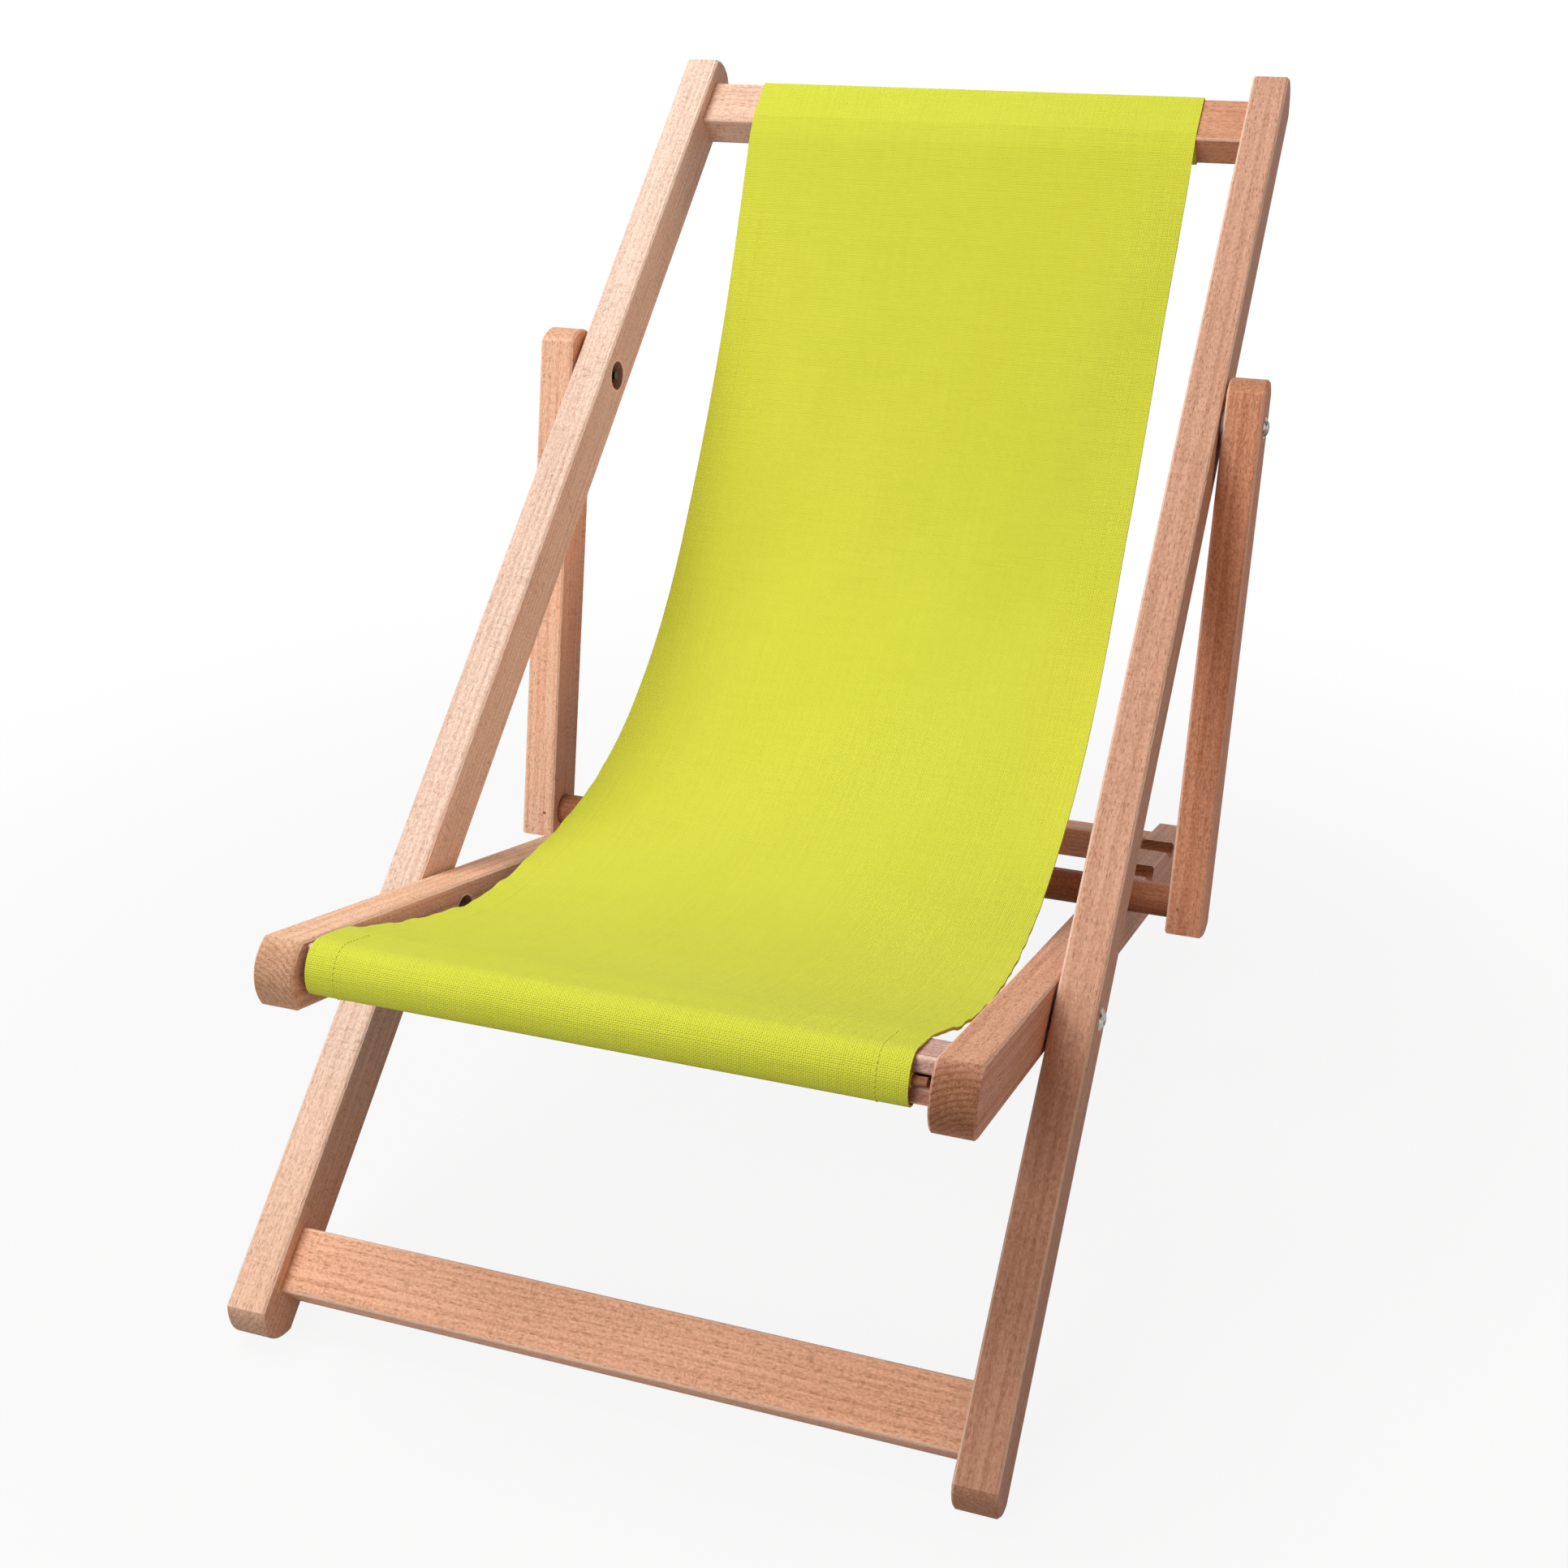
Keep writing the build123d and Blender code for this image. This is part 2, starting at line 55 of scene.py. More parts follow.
# The sling in side view: cloth, gap to the wood, hang, sleeve, front roll, hem on the rod, mesh steps
CLOTH = 0.0012
SKIN = 0.001
HANG_LENGTH, HANG_LEAN, HANG_STEPS, HANG_TRIES = 0.972, 0.59, 190, 50
SEAM_ALLOWANCE, SEAM_TOP, SEAM_BEHIND = 0.016, 0.004, 1.35 * CLOTH
SLEEVE_TURN, SLEEVE_ROUND, SLEEVE_END, HANG_FROM = 0.006, 0.004, 0.012, 0.013
FRONT_FROM, FRONT_TO, FRONT_ROUND, FRONT_SLACK = 0.006, 0.014, 0.017, 0.005
FRONT_RISE, FRONT_DROP = 2.5 * SKIN, 4.5 * SKIN
UNDER_FROM, UNDER_ROUND, SLOT_IN = 0.02, 0.0045, 0.006
HEM_GAP, HEM_POINTS, HEM_FIRST, HEM_TURN = 0.0008, 15, 24, 22
BEND_STEP, BEND_FIT, LONGEST_STEP, SHORTEST_STEP = 0.0012, 0.98, 0.006, 1e-5

# The sling's edges: share of the hanging length, and place across
LEFT_EDGE = (
    (0, -0.1845), (0.16, -0.1832), (0.33, -0.1838), (0.46, -0.1812), (0.57, -0.1805),
    (0.65, -0.1826), (0.72, -0.1860), (0.76, -0.1848), (0.81, -0.1820), (0.855, -0.1803),
    (0.88, -0.1832), (0.905, -0.1882), (0.935, -0.1945), (1, -0.1952))
RIGHT_EDGE = (
    (0, 0.1935), (0.14, 0.1890), (0.34, 0.1866), (0.44, 0.1878), (0.63, 0.1898),
    (0.75, 0.1930), (0.84, 0.1952), (0.93, 0.1948), (1, 0.1860))
EDGE_SAMPLES, EDGE_EASE = 401, 12

# How the cloth lies between them. A ripple has its radians a metre, shift and share, and a flutter
# has how many times the right edge's shift instead
SEAT_FROM, SEAT_TO = (0.5, 0.75), (0.95, 1.0)
EDGE_RIPPLE = ((263, 0.0, 0.45), (171, 1.3, 0.35), (97, 0.6, 0.35))
RIPPLE_LEFT, RIPPLE_RIGHT, RIPPLE_LAG = 0.0005, 0.0004, 17
CUP = 0.003
EDGE_FLUTTER = ((270, 1, 0.5), (163, -1, 0.4), (88, 2, 0.4))
FLUTTER, FLUTTER_BACK, FLUTTER_REACH, FLUTTER_SHIFT = 0.0009, 0.12, 0.014, 2.1
SOFT, SOFT_DOWN, SOFT_SLANT, SOFT_ACROSS, SOFT_SHIFT = 0.0007, 21, 33, 27, 0.8
CORNER_RISE, CORNER_AT, CORNER_LENGTH, CORNER_WIDTH = 0.0028, 0.005, 0.03, 0.025
SHARP_ANGLE = math.radians(55)

# Hems and stitches
HEM_WIDTH, HEM_STEP, HEM_IN, HEM_OUT = 0.021, 0.0009, 0.002, 0.001
HEM_FROM, HEM_TO = (0.0, 0.02), (0.985, 1.0)
HEM_SHARE, HEM_COLUMNS, BODY_COLUMNS = 0.055, 13, 45
STITCH_IN = 0.0185
TOP_SEAM, FRONT_SEAM = 0.005, 0.085
STITCH_PROUD, STITCH_SUNK = 0.0001, 0.00025
STITCH_PITCH, STITCH_LENGTH, STITCH_THICK = 0.0036, 0.0028, 0.0009
STITCH_SIDES, STITCH_RINGS = 6, 4

# Beech: how often each pattern repeats in a metre along, across and up the grain, what each adds to
# the tone and the height, where the bore's rim lies, the painted arris highlight, the pale rim and
# dark colours, and shares of fleck and curl
DRIFT, STREAK, SPECKLE = (2.2, 14, 14), (6, 340, 340), (430, 620, 620)
FLECKS, CURLS, CURL_PATCHES = (150, 760, 760), (560, 75, 75), (26, 70, 70)
CURL_SWAY, CURL_SWING = 110.0, 0.009
RING_TURNS, RING_WOBBLE, RING_WANDER = 1800.0, 5.0, 0.012
DRIFT_TONE, STREAK_TONE, RING_TONE, SPECKLE_TONE = 0.26, 0.36, 0.24, (-0.24, 0.42)
END_RING, END_TONE = 0.16, (0.68, 0.80)
STREAK_HEIGHT, SPECKLE_HEIGHT, FLECK_DEPTH = 0.7, 0.6, 0.6
RIM_FULL, RIM_END, BORE_EDGE, NO_BORE = 0.0012, 0.0019, 0.0002, 1.0
# The arris colour is a painted highlight on the chamfered arrises.
ARRIS_HIGHLIGHT, PALE_RIM = (0.95, 0.74, 0.58, 1), (0.95, 0.70, 0.55, 1)
# The darker dark colour is painted shade, used on the right seat rail.
BEECH_DARK, BEECH_DARK_SHADED = (0.30, 0.13, 0.06, 1), (0.22, 0.085, 0.035, 1)
FLECKED, CURLED = (0.36, 0.22), (0.2, 0.28)
# Share of that painted highlight on the arrises.
ARRIS_HIGHLIGHT_SHARE = 0.45

# Canvas, thread and steel
WEAVE_PITCH, OVER_HEIGHT, SLUB_HEIGHT = 0.0013, 0.25, 2.2
SLUB_ALONG, SLUB_ACROSS = (380, 9, 1), (16, 640, 1)
LIME, LIME_WARM = (0.688, 0.742, 0.062, 1), (0.702, 0.752, 0.068, 1)
LIME_SLUB, LIME_GAP = (0.58, 0.63, 0.045, 1), (0.44, 0.49, 0.03, 1)
BOUNCE, BOUNCE_SHARE = (0.96, 0.80, 0.72, 1), 0.95
THREAD_DARK, THREAD_LIGHT = (0.48, 0.52, 0.034, 1), (0.66, 0.70, 0.06, 1)
# The bolts' threaded ends: blackened thread, and darker still as painted shade.
BOLT_THREAD_BLACK_AND_SHADE, BOLT_EDGE = (0.04, 0.026, 0.018, 1), 0.004


# Node helpers

NUMBER, COLOUR, VECTOR = "NodeSocketFloat", "NodeSocketColor", "NodeSocketVector"
SOLID = "NodeSocketGeometry"


def feed(tree, made, values):
    """Sets a node's inputs to plain values or links."""
    for key, value in values.items():
        if isinstance(value, bpy.types.NodeSocket):
            tree.links.new(value, made.inputs[key])
        else:
            made.inputs[key].default_value = value


def node(tree, kind, values=None, **settings):
    """New node with its settings and inputs."""
    made = tree.nodes.new(kind)
    for name, value in settings.items():
        setattr(made, name, value)
    feed(tree, made, values or {})
    return made


def calc(tree, operation, a, b=0.0, clamp=False):
    return node(tree, "ShaderNodeMath", {0: a, 1: b}, operation=operation,
                use_clamp=clamp).outputs[0]


def times(tree, a, b, clamp=False):
    return calc(tree, "MULTIPLY", a, b, clamp)


def plus(tree, a, b, clamp=False):
    return calc(tree, "ADD", a, b, clamp)


def size_of(tree, value):
    return calc(tree, "ABSOLUTE", value)


def parts_of(tree, vector):
    return node(tree, "ShaderNodeSeparateXYZ", {0: vector}).outputs


def ramp(tree, value, low, high, to_low=0.0, to_high=1.0):
    """Value eased from one range to another."""
    return node(tree, "ShaderNodeMapRange", {0: value, 1: low, 2: high, 3: to_low, 4: to_high},
                interpolation_type="SMOOTHSTEP").outputs[0]


def mix(tree, share, a, b, blend="MIX"):
    return node(tree, "ShaderNodeMix", {0: share, 6: a, 7: b}, data_type="RGBA",
                blend_type=blend).outputs[2]


def stretched(tree, vector, scale):
    return node(tree, "ShaderNodeMapping", {"Vector": vector, "Scale": scale}).outputs[0]


def noise(tree, vector, scale=1.0, detail=3.0, rough=0.5):
    return node(tree, "ShaderNodeTexNoise", {"Vector": vector, "Scale": scale, "Detail": detail,
                                             "Roughness": rough}).outputs[0]


def bumped(tree, height, strength, distance):
    """Normal of a surface with this height."""
    return node(tree, "ShaderNodeBump", {"Strength": strength, "Distance": distance,
                                         "Height": height}).outputs[0]


def group(name, inputs, outputs, kind="ShaderNodeTree"):
    """Empty node group with its named sockets: the tree, what it is given, and its end node."""
    tree = bpy.data.node_groups.new(name, kind)
    for way, sockets in (("INPUT", inputs), ("OUTPUT", outputs)):
        for label, socket in sockets.items():
            tree.interface.new_socket(label, in_out=way, socket_type=socket)
    return tree, tree.nodes.new("NodeGroupInput").outputs, tree.nodes.new("NodeGroupOutput")


def material(name):
    """New material with its Principled shader."""
    made = bpy.data.materials.new(name)
    made.use_nodes = True
    return made, made.node_tree, made.node_tree.nodes["Principled BSDF"]


# Shared effects


def beech_figure():
    """Beech in the round: x along the grain and rings about that axis, which lies outside the board,
    short dark flecks, curls, darker end grain, a painted fade where it is given, a painted highlight
    on the arrises, the rim of a bore pale, and the bore dark inside."""
    tree, given, made = group(
        "beech_figure",
        {"Grain": VECTOR, "Facing": VECTOR, "Arris highlight": NUMBER, "Fleck": NUMBER, "Curl": NUMBER,
         "End dark": NUMBER, "Shade and tone": NUMBER, "From bore": NUMBER,
         "Pale": COLOUR, "Rosy": COLOUR, "Dark": COLOUR, "Shade and tone colour": COLOUR},
        {"Color": COLOUR, "Roughness": NUMBER, "Height": NUMBER})
    grain, dark, from_bore = given["Grain"], given["Dark"], given["From bore"]
    facing = parts_of(tree, given["Facing"])
    spot = parts_of(tree, grain)

    drift = noise(tree, stretched(tree, grain, DRIFT), detail=2)
    streak = noise(tree, stretched(tree, grain, STREAK), detail=4, rough=0.6)
    speckle = noise(tree, stretched(tree, grain, SPECKLE), detail=3, rough=0.65)
    across = plus(tree, spot[1], times(tree, drift, RING_WANDER))
    reach = calc(tree, "SQRT", plus(tree, times(tree, across, across),
                                    times(tree, spot[2], spot[2])))
    ring = calc(tree, "SINE", plus(tree, times(tree, reach, RING_TURNS),
                                   times(tree, streak, RING_WOBBLE)))
    ring = ramp(tree, ring, -0.1, 1.0)

    cells = node(tree, "ShaderNodeTexVoronoi", {"Vector": stretched(tree, grain, FLECKS),
                                               "Scale": 1.0, "Randomness": 1.0}).outputs
    chosen = node(tree, "ShaderNodeSeparateColor", {0: cells["Color"]}).outputs[0]
    fleck = times(tree, ramp(tree, cells["Distance"], 0.10, 0.48, 1.0, 0.0),
                  ramp(tree, chosen, 0.05, 0.75))
    swing = times(tree, noise(tree, grain, CURL_SWAY, 2.0), CURL_SWING)
    bent = node(tree, "ShaderNodeVectorMath", {0: grain, 1: swing}, operation="ADD").outputs[0]
    curl = times(tree, ramp(tree, noise(tree, stretched(tree, bent, CURLS), detail=2), 0.52, 0.68),
                 ramp(tree, noise(tree, stretched(tree, grain, CURL_PATCHES)), 0.42, 0.62))

    tone = plus(tree, ramp(tree, drift, 0.3, 0.7, 0.0, DRIFT_TONE),
                ramp(tree, streak, 0.36, 0.66, 0.0, STREAK_TONE))
    tone = plus(tree, tone, times(tree, ring, RING_TONE))
    tone = plus(tree, tone, ramp(tree, speckle, 0.32, 0.68, *SPECKLE_TONE), clamp=True)
    wood = mix(tree, tone, given["Pale"], given["Rosy"])
    # Painted shade and tone: the wood is multiplied towards the board's fade colour along one axis.
    wood = mix(tree, given["Shade and tone"], wood, given["Shade and tone colour"], "MULTIPLY")
    wood = mix(tree, times(tree, fleck, given["Fleck"]), wood, dark)
    wood = mix(tree, times(tree, curl, given["Curl"]), wood, dark)

    ends = ramp(tree, size_of(tree, facing[0]), 0.45, 0.9)
    arcs = plus(tree, times(tree, ring, END_RING), ramp(tree, streak, 0.3, 0.7, *END_TONE))
    end_tone = times(tree, arcs, given["End dark"])
    wood = mix(tree, times(tree, ends, end_tone, clamp=True), wood, dark)
    # Painted highlight: the chamfered arrises are mixed towards a pale colour.
    highlit_arris = ramp(tree, size_of(tree, times(tree, facing[1], facing[2])), 0.22, 0.46)
    wood = mix(tree, times(tree, highlit_arris, given["Arris highlight"]), wood, ARRIS_HIGHLIGHT)
    sides = ramp(tree, size_of(tree, facing[1]), 0.6, 0.9)
    rim = ramp(tree, from_bore, BORE_RADIUS + RIM_FULL, BORE_RADIUS + RIM_END, 0.95, 0.0)
    wood = mix(tree, times(tree, rim, sides), wood, PALE_RIM)
    inside = ramp(tree, from_bore, BORE_RADIUS - BORE_EDGE, BORE_RADIUS + BORE_EDGE, 0.85, 0.0)
    wood = mix(tree, inside, wood, dark)

    height = plus(tree, times(tree, streak, STREAK_HEIGHT), times(tree, speckle, SPECKLE_HEIGHT))
    feed(tree, made, {
        "Color": wood, "Roughness": ramp(tree, streak, 0.2, 0.8, 0.46, 0.62),
        "Height": calc(tree, "SUBTRACT", height, times(tree, fleck, FLECK_DEPTH))})
    return tree


def canvas_weave():
    """Plain weave on cloth coordinates in metres: thread height, and uneven yarn."""
    tree, given, made = group("canvas_weave", {"Cloth": VECTOR, "Pitch": NUMBER},
                              {"Height": NUMBER, "Yarn": NUMBER, "Slub": NUMBER})
    cloth = given["Cloth"]
    spot = parts_of(tree, cloth)
    warp, weft = (
        calc(tree, "SINE", times(tree, calc(tree, "DIVIDE", spot[i], given["Pitch"]), math.pi))
        for i in (0, 1))
    yarn = plus(tree, times(tree, size_of(tree, warp), 0.5), times(tree, size_of(tree, weft), 0.5))
    over = times(tree, times(tree, warp, weft), OVER_HEIGHT)
    along = noise(tree, stretched(tree, cloth, SLUB_ALONG), detail=2)
    cross = noise(tree, stretched(tree, cloth, SLUB_ACROSS), detail=2)
    feed(tree, made, {"Height": plus(tree, yarn, over), "Yarn": yarn,
                      "Slub": times(tree, plus(tree, along, cross), 0.5)})
    return tree


# Materials


def beech(name, turn, shift, looks, bore, shade_and_tone_fade):
    """Beech board with its own piece of the figure: turn lays the grain along the board, looks are
    its values, bore is its bore's middle in side view, and the last one (colour, axis, from, to,
    share, share) darkens it from one place to another: painted shade on most boards, a warmer, darker
    foot on the left back rail."""
    made, tree, surface = material(name)
    coords = node(tree, "ShaderNodeTexCoord").outputs
    values = dict(looks)
    values["Grain"] = node(tree, "ShaderNodeMapping", {
        "Vector": coords["Object"], "Rotation": turn, "Location": shift}).outputs[0]
    values["Facing"] = node(tree, "ShaderNodeMapping", {
        "Vector": coords["Normal"], "Rotation": turn}).outputs[0]
    values["From bore"] = NO_BORE
    if bore:
        level = node(tree, "ShaderNodeVectorMath", {0: coords["Object"], 1: (0, 1, 1)},
                     operation="MULTIPLY").outputs[0]
        values["From bore"] = node(tree, "ShaderNodeVectorMath", {0: level, 1: (0, *bore)},
                                   operation="DISTANCE").outputs["Value"]
    if shade_and_tone_fade:
        shade_and_tone_colour, axis, *limits = shade_and_tone_fade
        values["Shade and tone colour"] = (*shade_and_tone_colour, 1)
        values["Shade and tone"] = ramp(tree, parts_of(tree, coords["Object"])[axis], *limits)
    figure = node(tree, "ShaderNodeGroup", values, node_tree=BEECH).outputs
    feed(tree, surface, {
        "Base Color": figure["Color"], "Roughness": figure["Roughness"],
        "Normal": bumped(tree, figure["Height"], 0.7, 0.0009), "Specular IOR Level": 0.06})
    return made


def steel(name, dull, bright, low, high, thread_to=0.0):
    """Plated steel, a little cloudy, between two colours and two roughnesses; nearer to the middle
    of the chair than thread_to it is near black: blackened thread, darkened further as painted shade."""
    made, tree, surface = material(name)
    spot = node(tree, "ShaderNodeTexCoord").outputs["Object"]
    cloud = noise(tree, spot, 260.0, 4.0, 0.6)
    # The threaded end nearer the middle is blackened thread with painted shade.
    head = ramp(tree, size_of(tree, parts_of(tree, spot)[0]), thread_to - BOLT_EDGE, thread_to)
    plate = mix(tree, ramp(tree, cloud, 0.36, 0.64), (*dull, 1), (*bright, 1))
    feed(tree, surface, {
        "Base Color": mix(tree, head, BOLT_THREAD_BLACK_AND_SHADE, plate),
        "Roughness": ramp(tree, cloud, 0.3, 0.7, low, high),
        "Normal": bumped(tree, noise(tree, spot, 900.0), 0.15, 0.0002), "Metallic": 1.0})
    return made


def canvas(name):
    """Lime cotton canvas: plain weave, uneven yarn, a soft sheen; the light that it throws on the
    wood is muted."""
    made, tree, surface = material(name)
    cloth = node(tree, "ShaderNodeUVMap", uv_map="cloth").outputs[0]
    weave = node(tree, "ShaderNodeGroup", {"Cloth": cloth, "Pitch": WEAVE_PITCH},
                 node_tree=WEAVE).outputs
    dye = mix(tree, ramp(tree, noise(tree, cloth, 9.0, 3.0), 0.3, 0.7), LIME, LIME_WARM)
    dye = mix(tree, ramp(tree, weave["Slub"], 0.35, 0.65, 0.0, 0.14), dye, LIME_SLUB)
    dye = mix(tree, ramp(tree, weave["Yarn"], 0.15, 0.55, 0.38, 0.0), dye, LIME_GAP)
    bounced = tree.nodes.new("ShaderNodeLightPath").outputs["Is Diffuse Ray"]
    height = plus(tree, weave["Height"], times(tree, weave["Slub"], SLUB_HEIGHT))
    feed(tree, surface, {
        "Base Color": mix(tree, times(tree, bounced, BOUNCE_SHARE), dye, BOUNCE),
        "Roughness": ramp(tree, weave["Slub"], 0.3, 0.7, 0.78, 0.92),
        "Normal": bumped(tree, height, 0.8, 0.0005),
        "Specular IOR Level": 0.1, "Sheen Weight": 0.05, "Sheen Roughness": 0.5})
    return made


def thread(name):
    """Lime sewing thread with its twist."""
    made, tree, surface = material(name)
    twist = noise(tree, node(tree, "ShaderNodeTexCoord").outputs["Object"], 2400.0, 1.0)
    feed(tree, surface, {"Base Color": mix(tree, twist, THREAD_DARK, THREAD_LIGHT),
                         "Roughness": ramp(tree, twist, 0.3, 0.7, 0.55, 0.75)})
    return made


BEECH, WEAVE = beech_figure(), canvas_weave()


# Frames


def rail_turn(tilt):
    """Rotation that lays the figure's x along a rail with this tilt."""
    cos, sin = math.cos(tilt), math.sin(tilt)
    return Matrix(((0, cos, sin), (-1, 0, 0), (0, -sin, cos))).to_euler("XYZ")


def bar_turn(tilt):
    """Rotation that lays the figure's x along a cross bar between rails with this tilt."""
    cos, sin = math.cos(tilt), math.sin(tilt)
    return Matrix(((1, 0, 0), (0, cos, sin), (0, -sin, cos))).to_euler("XYZ")


def dress(name, finish):
    """Gives a CAD node its finish."""
    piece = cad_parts[name]
    for slot in piece.material_slots:
        slot.material = finish
    if not piece.material_slots:
        piece.data.materials.append(finish)


BACK_RAIL, SEAT_RAIL, PROP_RAIL = (rail_turn(tilt) for tilt in (BACK_TILT, SEAT_TILT, PROP_TILT))
BACK_BAR, SEAT_BAR = bar_turn(BACK_TILT), bar_turn(SEAT_TILT)

# Each board's grain, place of its middle in the figure, pale and rosy colour, and darker ends. The
# right-hand boards' colours and ends are painted darker as shade, where the light falls off towards
# the right, and the prop dowel's colours are painted dark for the shade it lies in
BOARDS = {
    "back_rail_left": (
        BACK_RAIL, (0.11, 0.040, 0.030), (0.89, 0.70, 0.57), (0.67, 0.43, 0.315), 0.5),
    "back_rail_right": (
        BACK_RAIL, (0.73, -0.030, 0.045), (0.70, 0.415, 0.29), (0.50, 0.26, 0.165), 0.6),
    "seat_rail_left": (
        SEAT_RAIL, (0.37, -0.028, 0.030), (0.96, 0.63, 0.42), (0.68, 0.36, 0.215), 0.66),
    "seat_rail_right": (
        SEAT_RAIL, (0.91, 0.006, 0.034), (0.78, 0.43, 0.295), (0.51, 0.235, 0.14), 1.0),
    "prop_rail_left": (
        PROP_RAIL, (0.53, 0.030, 0.040), (1.0, 0.66, 0.46), (0.80, 0.37, 0.22), 0.4),
    "prop_rail_right": (
        PROP_RAIL, (0.29, -0.020, 0.050), (0.80, 0.40, 0.25), (0.52, 0.215, 0.108), 0.6),
    "top_bar": (
        BACK_BAR, (0.17, 0.035, 0.040), (0.88, 0.63, 0.48), (0.68, 0.42, 0.29), 0.5),
    "foot_bar": (
        BACK_BAR, (0.61, 0.030, 0.036), (0.92, 0.54, 0.36), (0.62, 0.30, 0.175), 0.5),
    "front_slat_upper": (
        SEAT_BAR, (0.83, 0.030, 0.030), (0.80, 0.57, 0.51), (0.47, 0.25, 0.205), 0.5),
    "front_slat_lower": (
        SEAT_BAR, (0.43, 0.040, 0.020), (0.60, 0.32, 0.24), (0.38, 0.17, 0.11), 0.5),
    "rear_stretcher": (
        SEAT_BAR, (0.97, 0.030, 0.030), (0.84, 0.45, 0.29), (0.60, 0.27, 0.155), 0.4),
    "prop_dowel": (
        BACK_BAR, (0.05, 0.020, 0.010), (0.42, 0.17, 0.09), (0.25, 0.095, 0.045), 0.5),
    "sling_rod": (
        SEAT_BAR, (0.51, 0.010, 0.010), (0.40, 0.19, 0.10), (0.24, 0.10, 0.045), 0.5),
}
TURNED = ("prop_dowel", "sling_rod")
BORES = {
    "back_rail_left": PROP_PIVOT, "back_rail_right": PROP_PIVOT,
    "seat_rail_left": SEAT_PIVOT, "seat_rail_right": SEAT_PIVOT,
}
# Painted shade: the top bar darkens towards its right end, where the light falls off, and the right
# back rail below the seat, in the seat's shadow; the left back rail turns warmer and darker towards
# its foot.
SHADE_AND_TONE_FADES = {
    "top_bar": ((0.60, 0.25, 0.05), 0, -0.25, 0.25, 0.0, 0.58),
    "back_rail_left": ((0.95, 0.82, 0.73), 2, 0.03, 0.22, 1.0, 0.0),
    "back_rail_right": ((0.45, 0.30, 0.20), 2, 0.11, 0.25, 0.38, 0.0),
}
for board, (turn, pith, pale, rosy, end_dark) in BOARDS.items():
    low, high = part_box(board)
    middle = turn.to_matrix() @ ((Vector(low) + Vector(high)) / 2)
    fleck, curl = CURLED if board.endswith("rail_left") else FLECKED
    board_looks = {
        "Pale": (*pale, 1), "Rosy": (*rosy, 1), "End dark": end_dark, "Fleck": fleck, "Curl": curl,
        # The right seat rail's darker dark colour is painted shade on its end grain and flecks.
        "Dark": BEECH_DARK_SHADED if board == "seat_rail_right" else BEECH_DARK,
        "Arris highlight": 0.0 if board in TURNED else ARRIS_HIGHLIGHT_SHARE}
    dress(board, beech(board + "_beech", turn, Vector(pith) - middle, board_looks,
                       BORES.get(board), SHADE_AND_TONE_FADES.get(board)))

BOLT_ZINC = ((0.035, 0.03, 0.026), (0.50, 0.475, 0.43), 0.24, 0.42)
SPACER = steel("spacer_zinc", (0.30, 0.30, 0.30), (0.55, 0.54, 0.52), 0.3, 0.5)
DULL = steel("dull_zinc", (0.030, 0.018, 0.012), (0.075, 0.048, 0.034), 0.55, 0.75)
STEELS = {
    "seat_pivot_bolts": steel("seat_bolt_zinc", *BOLT_ZINC, thread_to=0.25),
    "prop_pivot_bolts": steel("prop_bolt_zinc", *BOLT_ZINC, thread_to=0.28),
    "prop_dowel_nails": steel("nail_steel", (0.24, 0.12, 0.07), (0.36, 0.19, 0.11), 0.5, 0.7),
    "seat_pivot_spacers": SPACER, "prop_pivot_spacers": SPACER,
}
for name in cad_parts:
    if name not in BOARDS and name != "sling":
        dress(name, STEELS.get(name, DULL))


# The sling


def in_frame(tilt, along, out):
    """Side-view point (y, z) of a point given along and out of a frame's rails."""
    y, z = SEAT_PIVOT
    cos, sin = math.cos(tilt), math.sin(tilt)
    return (y + along * cos - out * sin, z + along * sin + out * cos)


def rounded(points, radius, step):
    """Points along a bent line whose corners are rounded, about this step apart on the bends."""
    points = [Vector(p) for p in points]
    bends = [math.pi - (a - b).angle(c - b) for a, b, c in zip(points, points[1:], points[2:])]
    cuts = [0.0] + [radius * math.tan(bend / 2) for bend in bends] + [0.0]
    fits = [min(1.0, BEND_FIT * (b - a).length / max(cuts[i] + cuts[i + 1], 1e-9))
            for i, (a, b) in enumerate(zip(points, points[1:]))]
    line = [points[0]]
    for i, bend in enumerate(bends, 1):
        before, corner, after = points[i - 1:i + 2]
        cut = cuts[i] * min(fits[i - 1], fits[i])
        start = corner + (before - corner).normalized() * cut
        end = corner + (after - corner).normalized() * cut
        count = max(3, int(bend * radius / step) + 2)
        for k in range(count + 1):
            t = k / count
            line.append(start * (1 - t) ** 2 + corner * 2 * t * (1 - t) + end * t ** 2)
    return line + [points[-1]]


def hanging(start, end, length, count):
    """Points of a sheet of this length between two side-view points, sagging more towards its end."""
    start, end = Vector(start), Vector(end)
    chord = end - start
    down = Vector((-chord.y, chord.x))

    def line(sag):
        shares = [i / count for i in range(count + 1)]
        return [start + chord * t + down * (4 * sag * t * (1 - t) * (1 + HANG_LEAN * (t - 0.5)))
                for t in shares]

    low, high = 0.0, 1.0
    for _ in range(HANG_TRIES):
        middle = (low + high) / 2
        points = line(middle)
        short = sum((b - a).length for a, b in zip(points, points[1:])) < length
        low, high = (middle, high) if short else (low, middle)
    return line(low)


def even(line):
    """The same line with its long runs divided."""
    out = [line[0]]
    for a, b in zip(line, line[1:]):
        count = max(1, math.ceil((b - a).length / LONGEST_STEP))
        out += [a.lerp(b, i / count) for i in range(1, count + 1)]
    return [p for i, p in enumerate(out) if i == 0 or (p - out[i - 1]).length > SHORTEST_STEP]


